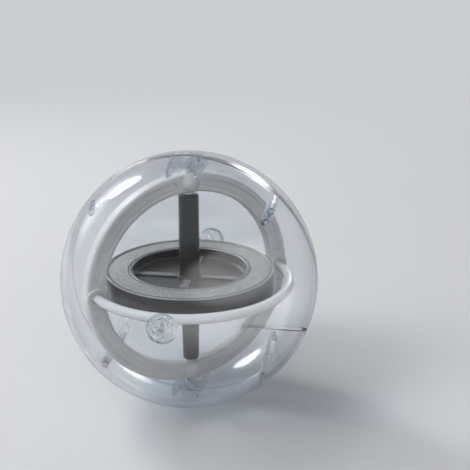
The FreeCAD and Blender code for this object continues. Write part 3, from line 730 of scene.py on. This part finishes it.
# %% Weight ring and axle tubes
inside, outside = WEIGHT_INSIDE + WEIGHT_ROOM, WEIGHT_OUTSIDE - WEIGHT_ROOM
weight = turned("weight_ring", rounded([
    (inside, WEIGHT_FLOOR, 0.1), (outside, WEIGHT_FLOOR, 0.1), (outside, WEIGHT_TOP, 0.3),
    (inside, WEIGHT_TOP, 0.3)], 5), 256)
finished(shaded(weight), "rotor", weight_metal, "weight_ring")

TUBE_END = 30.7
PIN_DEPTH = 8.0
PIN_BORE = 1.02
SPIGOT = 2.0
SPIGOT_START = 0.05
STRING_HOLE_RADIUS = 0.9
STRING_HOLE_HEIGHT = 12
STRING_HOLE_TURN = -25


def axle_tube(name, base, end):
    """A tapered tube with a spigot in the hub and a bore for its pin."""
    foot = HUB_TOP + 0.02
    bore_floor = TUBE_END - PIN_DEPTH
    return turned(name, rounded([
        (PIN_BORE, TUBE_END, 0.25), (end, TUBE_END, 0.45), (base, foot, 0.2), (SPIGOT, foot),
        (SPIGOT, SPIGOT_START, 0.2), (0, SPIGOT_START), (0, bore_floor), (PIN_BORE, bore_floor),
    ], 5), 128)


upper_tube = axle_tube("upper_axle_tube", 3.65, 3.5)
string_hole = turned("string_hole", [
    (0, -6), (STRING_HOLE_RADIUS, -6), (STRING_HOLE_RADIUS, 6), (0, 6)], 48)
moved(string_hole, Matrix.Translation((0, 0, STRING_HOLE_HEIGHT))
      @ Matrix.Rotation(math.radians(STRING_HOLE_TURN), 4, "Z") @ Matrix.Rotation(math.pi / 2, 4, "Y"))
combined(upper_tube, "DIFFERENCE", [string_hole])
finished(shaded(upper_tube), "rotor", dark_plastic, "upper_axle_tube")
lower_tube = moved(axle_tube("lower_axle_tube", 3.4, 2.9), Matrix.Rotation(math.pi, 4, "X"))
finished(shaded(lower_tube), "rotor", dark_plastic, "lower_axle_tube")

# %% [markdown]
# ## Pins, cups and studs
# The rotor turns on two steel pins whose points stand in steel cups. The studs are turned too: a flange
# that the ring halves clamp, a neck, and the ball foot that the frame swivels on.

# %% Pins, cups and studs, top and bottom
CUP_END = 34.55
FLANGE_RADIUS = 2.6
NECK_RADIUS = 1.5
FOOT_RADIUS = 2.2
FOOT_HEIGHT = 41.7

for end, flip in (("top", 0), ("bottom", math.pi)):
    turn_over = Matrix.Rotation(flip, 4, "X")
    pin = turned(f"{end}_pivot_pin", rounded([
        (0, 22.7), (1.0, 22.7, 0.1), (1.0, 32.85, 0.1), (0.15, 33.7, 0.08), (0, 33.7)], 3), 48)
    finished(shaded(moved(pin, turn_over)), "rotor", pin_steel, f"{end}_pivot_pin")
    cup = turned(f"{end}_bearing_cup", rounded([
        (1.05, 31.05, 0.15), (2.0, 31.05, 0.2), (2.0, CUP_END, 0.1), (0, CUP_END), (0, 33.8), (0.2, 33.8),
        (1.05, 32.95)], 3), 64)
    finished(shaded(moved(cup, turn_over)), "frame", pin_steel, f"{end}_bearing_cup")
    neck_meets = math.degrees(math.asin(NECK_RADIUS / FOOT_RADIUS))
    stud = turned(f"{end}_swivel_stud", rounded([
        (0, 34.57), (FLANGE_RADIUS, 34.57, 0.1), (FLANGE_RADIUS, 35.77, 0.1), (NECK_RADIUS, 35.77, 0.1)], 3)
        + arc((0, FOOT_HEIGHT), FOOT_RADIUS, neck_meets - 90, 90, 28), 96)
    finished(shaded(moved(stud, turn_over)), "frame", ring_white, f"{end}_swivel_stud")

# %% [markdown]
# ## The ring frame
# The ring is two equal halves that close on the studs. Its section changes on the way round: a shallow
# channel runs along the face of each quarter and ends round, short of the bosses. So the band is a fine
# grid round the ring, and each point of its face asks how deep inside the channel it lies.

# %% The band with its channels
RING_OUTSIDE = 38.4
RING_INSIDE = 32.0
RING_MIDDLE = 35.2
FACE = 2.4
EDGE_ROUND = 0.9
CHANNEL_HALF = 1.3
CHANNEL_DEEP = 0.5
CHANNEL_SHORT = math.degrees(6.6 / RING_MIDDLE)
PARTING = 0.10
HOOP_RADIUS = 35.0
ROD_RADIUS = 1.65
ROD_ROOM = 0.23


def channel_depth(out, angle):
    """How far the channel sinks the face at a radius and an angle in degrees."""
    quarter = angle % 90
    beyond = max(CHANNEL_SHORT - quarter, quarter - (90 - CHANNEL_SHORT), 0)
    away = math.hypot(math.radians(beyond) * RING_MIDDLE, out - RING_MIDDLE)
    share = max(0, min(1, (CHANNEL_HALF + 0.12 - away) / 0.45))
    return CHANNEL_DEEP * share * share * (3 - 2 * share)


def ring_band(name, sides=1080):
    """Half of the ring's band, with its face at the front and its back open past the parting plane."""
    inner_round = arc((RING_INSIDE + EDGE_ROUND, EDGE_ROUND - FACE), EDGE_ROUND, 180, 270, 7)
    outer_round = arc((RING_OUTSIDE - EDGE_ROUND, EDGE_ROUND - FACE), EDGE_ROUND, -90, 0, 7)
    first = RING_MIDDLE - CHANNEL_HALF - 0.2
    face = [(first + step * (2 * CHANNEL_HALF + 0.4) / 22, -FACE) for step in range(23)]
    section = [(RING_INSIDE + PARTING, 0.5), (RING_INSIDE + PARTING, 0.0), (RING_INSIDE, -PARTING)]
    section += inner_round + face + outer_round
    section += [(RING_OUTSIDE, -PARTING), (RING_OUTSIDE - PARTING, 0.0), (RING_OUTSIDE - PARTING, 0.5)]
    points = []
    for side in range(sides):
        degrees = 360 * side / sides
        turn = math.radians(degrees)
        for out, depth in section:
            sunk = channel_depth(out, degrees) if depth == -FACE else 0
            points.append((out * math.cos(turn), depth + sunk, out * math.sin(turn)))
    rows = len(section)
    faces = [[side * rows + row, side * rows + (row + 1) % rows, (side + 1) % sides * rows + (row + 1) % rows,
              (side + 1) % sides * rows + row] for side in range(sides) for row in range(rows)]
    return solid(name, points, faces)


print("channel is", channel_depth(RING_MIDDLE, 45), "mm deep in the middle of a quarter")

# %% [markdown]
# The ball bosses hold the studs and the lugs hold the guard hoop. Both are turned shapes, joined to the
# band. Everything is made a little too long at the back, and one clean cut at the parting plane trims it.

# %% Bosses, lugs and seats
STANDING = Matrix.Rotation(math.pi / 2, 4, "X")
BOSS_RADIUS = 4.0
SHOULDER = 48.0
COLLAR_RADIUS = 1.9
COLLAR_TOP = 39.1
LUG_RADIUS = 3.6
LUG_HEIGHT = 3.0
SEAT_ROOM = 0.02
waist_out = BOSS_RADIUS * math.cos(math.radians(SHOULDER))
waist_up = RING_MIDDLE + BOSS_RADIUS * math.sin(math.radians(SHOULDER))


def boss(name):
    """An onion-shaped ball boss with a waist below its collar."""
    wide, tall = waist_out - COLLAR_RADIUS, COLLAR_TOP - waist_up
    waist = [(COLLAR_RADIUS + wide * (1 - t) ** 2.4, waist_up + tall * t)
             for t in (0.12, 0.25, 0.4, 0.55, 0.7, 0.85)]
    return turned(name, arc((0, RING_MIDDLE), BOSS_RADIUS, -90, SHOULDER, 30) + waist
                  + [(COLLAR_RADIUS, 38.95), (1.8, COLLAR_TOP), (0, COLLAR_TOP)], 96)


def lug(name):
    """A round lug with a groove about its hole, standing forward."""
    return turned(name, rounded([
        (0, -0.5), (LUG_RADIUS, -0.5), (LUG_RADIUS, LUG_HEIGHT, 0.45), (2.83, LUG_HEIGHT, 0.1),
        (2.78, 2.6, 0.1), (2.42, 2.6, 0.1), (2.37, LUG_HEIGHT, 0.1), (0, LUG_HEIGHT)], 4), 96)


def seat(name):
    """The hollow that a stud and a cup fill."""
    cup, flange, neck = 2.0 + SEAT_ROOM, FLANGE_RADIUS + SEAT_ROOM, NECK_RADIUS + SEAT_ROOM
    return turned(name, [(0, 29), (cup, 29), (cup, CUP_END), (flange, CUP_END), (flange, 35.81),
                         (neck, 35.81), (neck, 41), (0, 41)], 64)


def ring_half(name, node, half_turn):
    """One half of the ring, made at the front and turned to its place."""
    band = ring_band(name)
    over = Matrix.Rotation(math.pi, 4, "Y")
    lugs = [moved(lug("lug"), Matrix.Translation((side * HOOP_RADIUS, 0, 0)) @ STANDING) for side in (1, -1)]
    combined(band, "UNION", [boss("boss"), moved(boss("boss"), over), *lugs])
    hole = ROD_RADIUS + ROD_ROOM
    holes = [moved(turned("hoop_hole", [(0, -4), (hole, -4), (hole, 4), (0, 4)], 64),
                   Matrix.Translation((side * HOOP_RADIUS, 0, 0)) @ STANDING) for side in (1, -1)]
    behind = turned("behind", [(0, 0), (60, 0), (60, 9), (0, 9)], 12)
    behind = moved(behind, Matrix.Rotation(-math.pi / 2, 4, "X"))
    combined(band, "DIFFERENCE", [seat("seat"), moved(seat("seat"), over), *holes, behind])
    moved(band, Matrix.Rotation(half_turn, 4, "Z"))
    return finished(shaded(band), "frame", ring_white, node)


ring_half("frame_ring_front", "frame_ring_front", 0)
ring_half("frame_ring_rear", "frame_ring_rear", math.pi)

# %% Guard hoops, bent by the tree
for name, start_angle in (("front_guard_hoop", math.pi), ("rear_guard_hoop", 0.0)):
    hoop = grown(new_object(name, [], []), rod_tree, Radius=HOOP_RADIUS * MM, Rod_Radius=ROD_RADIUS * MM,
                 Start=start_angle, Sweep=math.pi, Steps=161, Material=hoop_white)
    finished(shaded(hoop), "frame", hoop_white, name)

# %% [markdown]
# ## The clear ball
# Each half is a closed wall 1.6 mm thick, turned about its pole. It is drawn lying with its pole up, and
# then stood up, so that the pole points back and the open side faces the viewer. Inside, four posts, two
# pairs of fins and two blocks are moulded on. The rear half has a tongue with small keys round it and
# the front half has the notches that take them, as well as the slot for the pull string.

# %% Wall of a half
BALL_OUT = 45.0
BALL_IN = 43.4
LAP = 44.2
SEAM = 0.05
SEAM_CHAMFER = 0.14


def steps_on(radius, low, high, steps):
    """Points on the ball from one height to another, at even angles."""
    first = math.degrees(math.asin(low / radius))
    last = math.degrees(math.asin(high / radius))
    return arc((0, 0), radius, first, last, steps)


def at_radius(radius, out):
    """The height of a ball of a radius at a distance out from its axis."""
    return math.sqrt(radius ** 2 - out ** 2)


def wall(name, lap_out, lap_end):
    """Half of the ball, open downwards, with its pole boss."""
    boss_top = BALL_IN - 2.4
    outline = [(lap_out, SEAM), (lap_out, lap_end)]
    outline += steps_on(BALL_IN, lap_end, at_radius(BALL_IN, 4.85), 64)
    outline += rounded([(4.85, boss_top, 0.2), (3.0, boss_top, 0.15), (3.0, boss_top + 1.2),
                        (1.95, boss_top + 1.2), (1.95, boss_top, 0.15), (0.85, boss_top, 0.12),
                        (0.85, at_radius(BALL_OUT, 0.85))], 3)
    outline += steps_on(BALL_OUT, at_radius(BALL_OUT, 1.05), SEAM + SEAM_CHAMFER, 68)
    outline += [(at_radius(BALL_OUT, SEAM) - SEAM_CHAMFER, SEAM)]
    return turned(name, outline, 224)


# %% Posts, fins and blocks that end inside the wall
MID_WALL = 44.0
POST_OUT = 40.45
POST_RADIUS = 1.7


def post(name):
    """A round post beside the axis whose far end follows the ball."""
    sides = 40
    ring = [(POST_RADIUS * math.cos(2 * math.pi * s / sides), POST_RADIUS * math.sin(2 * math.pi * s / sides))
            for s in range(sides)]
    low = [(x, y, SEAM) for x, y in ring]
    high = [(x, y, at_radius(MID_WALL, math.hypot(POST_OUT + x, y))) for x, y in ring]
    points = low + high + [(0, 0, SEAM), (0, 0, at_radius(MID_WALL, POST_OUT))]
    faces = []
    for side in range(sides):
        after = (side + 1) % sides
        faces += [[side, after, sides + after, sides + side], [side, after, 2 * sides],
                  [sides + side, sides + after, 2 * sides + 1]]
    return solid(name, points, faces)


def wall_block(name, low_x, high_x, depth, bottom, relief):
    """A block from a level out to the wall, cut back near the seam to a relief radius if there is one."""
    rows = [SEAM] + ([1.62, 1.63] if relief else []) + [2.2 + (depth - 2.2) * i / 8 for i in range(1, 9)]
    columns = [low_x + (high_x - low_x) * i / 6 for i in range(7)]

    def top(x, y):
        if relief and y < 1.625:
            return at_radius(relief, x)
        return math.sqrt(MID_WALL ** 2 - x ** 2 - y ** 2)

    spots = [(x, y) for y in rows for x in columns]
    points = [(x, y, bottom) for x, y in spots] + [(x, y, top(x, y)) for x, y in spots]
    wide = len(columns)
    layer = wide * len(rows)
    faces = []
    for row in range(len(rows) - 1):
        for column in range(wide - 1):
            corner = row * wide + column
            quad = [corner, corner + 1, corner + wide + 1, corner + wide]
            faces += [quad, [index + layer for index in quad]]
    border = list(range(wide)) + [row * wide + wide - 1 for row in range(1, len(rows))]
    border += [(len(rows) - 1) * wide + column for column in range(wide - 2, -1, -1)]
    border += [row * wide for row in range(len(rows) - 2, 0, -1)]
    for here, after in zip(border, border[1:] + border[:1]):
        faces.append([here, after, after + layer, here + layer])
    return solid(name, points, faces)


STOOD_UP = Matrix.Rotation(-math.pi / 2, 4, "X")
UPSIDE_DOWN = Matrix.Rotation(math.pi, 4, "Y")


def round_bar(name, radius, start, end, chamfer=0.0):
    """A round bar along the pole's axis, which may have a chamfer at its start."""
    outline = [(0, start), (radius - chamfer, start)] + ([(radius, start + chamfer)] if chamfer else [])
    return turned(name, outline + [(radius, end), (0, end)], 40)


print("a post is", round(at_radius(MID_WALL, POST_OUT) - SEAM, 1), "mm long")

# %% Seam keys and notches, repeated by the tree
KEYS = 14
BLOCK_FACES = [[0, 1, 3, 2], [4, 5, 7, 6], [0, 1, 5, 4], [2, 3, 7, 6], [0, 2, 6, 4], [1, 3, 7, 5]]


def seam_blocks(name, slack, low, high):
    """Small square blocks round the seam, for keys, or a little larger, for the notches."""
    inside, outside, half = LAP - 0.4, LAP + 0.35 + slack, 0.8 + slack
    middle = (inside + outside) / 2
    points = [(x - middle, y, z) for x in (inside, outside) for y in (-half, half) for z in (low, high)]
    block = solid(name, points, BLOCK_FACES)
    return grown(block, around_tree, Count=KEYS, Radius=middle * MM, Start=0.0, Material=clear_plastic)


# %% [markdown]
# Glass shows every flaw in its shading. After the joins and cuts, each corner that lies on the inner or
# the outer ball gets the ball's own direction as its normal, so reflections run over it without a wobble.

# %% True normals on the ball


def true_ball_normals(piece):
    """Point the shading of the ball's surfaces straight out or straight in."""
    mesh = piece.data
    corners = [Vector(corner.vector) for corner in mesh.corner_normals]
    changed = 0
    for face in mesh.polygons:
        for corner in face.loop_indices:
            spot = mesh.vertices[mesh.loops[corner].vertex_index].co
            out = spot.normalized()
            lean = face.normal.dot(out)
            on_outside = abs(spot.length - BALL_OUT * MM) < 0.01 * MM and lean > 0.95
            on_inside = abs(spot.length - BALL_IN * MM) < 0.01 * MM and lean < -0.95
            if on_outside or on_inside:
                corners[corner] = out if on_outside else -out
                changed += 1
    mesh.normals_split_custom_set(corners)
    print(f"{piece.name}: {changed} of {len(corners)} corners follow the ball")
    return piece


# %% The two halves
BODY_TURN = -37.0
SOCKET_RADIUS = 2.3
FIN_SPANS = ((-5.0, -4.0), (4.0, 5.0))
FIN_DEPTH = 11.0
FIN_BOTTOM = 38.85
BLOCK_HALF = 4.9
BLOCK_DEPTH = 3.4
BLOCK_BOTTOM = 40.2
PEG_RADIUS = 1.0
PEG_REACH = 7.0
PEG_CHAMFER = 0.35
SLOT_START = 23.7
SLOT_HALF = 0.4
SLOT_DROP = 16.7
SLOT_RISE = 24.4


def half_ball(name, body, has_tongue, turn):
    """One half with everything moulded on it, stood up and turned to its place."""
    shell = wall(name, LAP if has_tongue else LAP + 0.05, -1.6 if has_tongue else 1.65)
    posts = grown(post("posts"), around_tree, Count=4, Radius=POST_OUT * MM, Start=math.pi / 4,
                  Material=clear_plastic)
    moved(shell, STOOD_UP)
    additions = [moved(posts, STOOD_UP)]
    relief = 0 if has_tongue else 43.35
    for flip in (Matrix.Identity(4), UPSIDE_DOWN):
        for low, high in FIN_SPANS:
            additions.append(moved(wall_block("fin", low, high, FIN_DEPTH, FIN_BOTTOM, relief), flip))
        block = wall_block("block", -BLOCK_HALF, BLOCK_HALF, BLOCK_DEPTH, BLOCK_BOTTOM, relief)
        additions.append(moved(block, flip))
    high = POST_OUT * math.sin(math.pi / 4)
    for up in (high, -high):
        peg = round_bar("peg", PEG_RADIUS, -PEG_REACH, 1.0, PEG_CHAMFER)
        additions.append(moved(peg, Matrix.Translation((high, 0, up)) @ STOOD_UP))
    if has_tongue:
        additions.append(moved(seam_blocks("keys", 0.0, -1.2, 0.0), STOOD_UP))
    combined(shell, "UNION", additions)
    cuts = [moved(round_bar("peg_hole", PEG_RADIUS + 0.1, -1.0, PEG_REACH + 0.2),
                  Matrix.Translation((-high, 0, up)) @ STOOD_UP) for up in (high, -high)]
    for up in (FOOT_HEIGHT, -FOOT_HEIGHT):
        cuts.append(turned("socket", arc((0, up), SOCKET_RADIUS, -90, 90, 32), 64))
    if not has_tongue:
        cuts.append(moved(seam_blocks("notches", 0.05, -1.0, 1.25), STOOD_UP))
        corners = [(x, y, z) for x in (-60, -SLOT_START) for y in (-4, 60) for z in (-SLOT_HALF, SLOT_HALF)]
        rise = Matrix.Rotation(math.radians(SLOT_RISE), 4, "X")
        cuts.append(moved(solid("slot", corners, BLOCK_FACES), Matrix.Translation((0, 0, -SLOT_DROP)) @ rise))
    combined(shell, "DIFFERENCE", cuts)
    moved(shell, Matrix.Rotation(math.radians(turn), 4, "Z"))
    shaded(shell, 30)
    true_ball_normals(shell)
    return finished(shell, body, clear_plastic, name)


half_ball("rear_shell", "rear_half", True, BODY_TURN)
half_ball("front_shell", "front_half", False, BODY_TURN + 180)
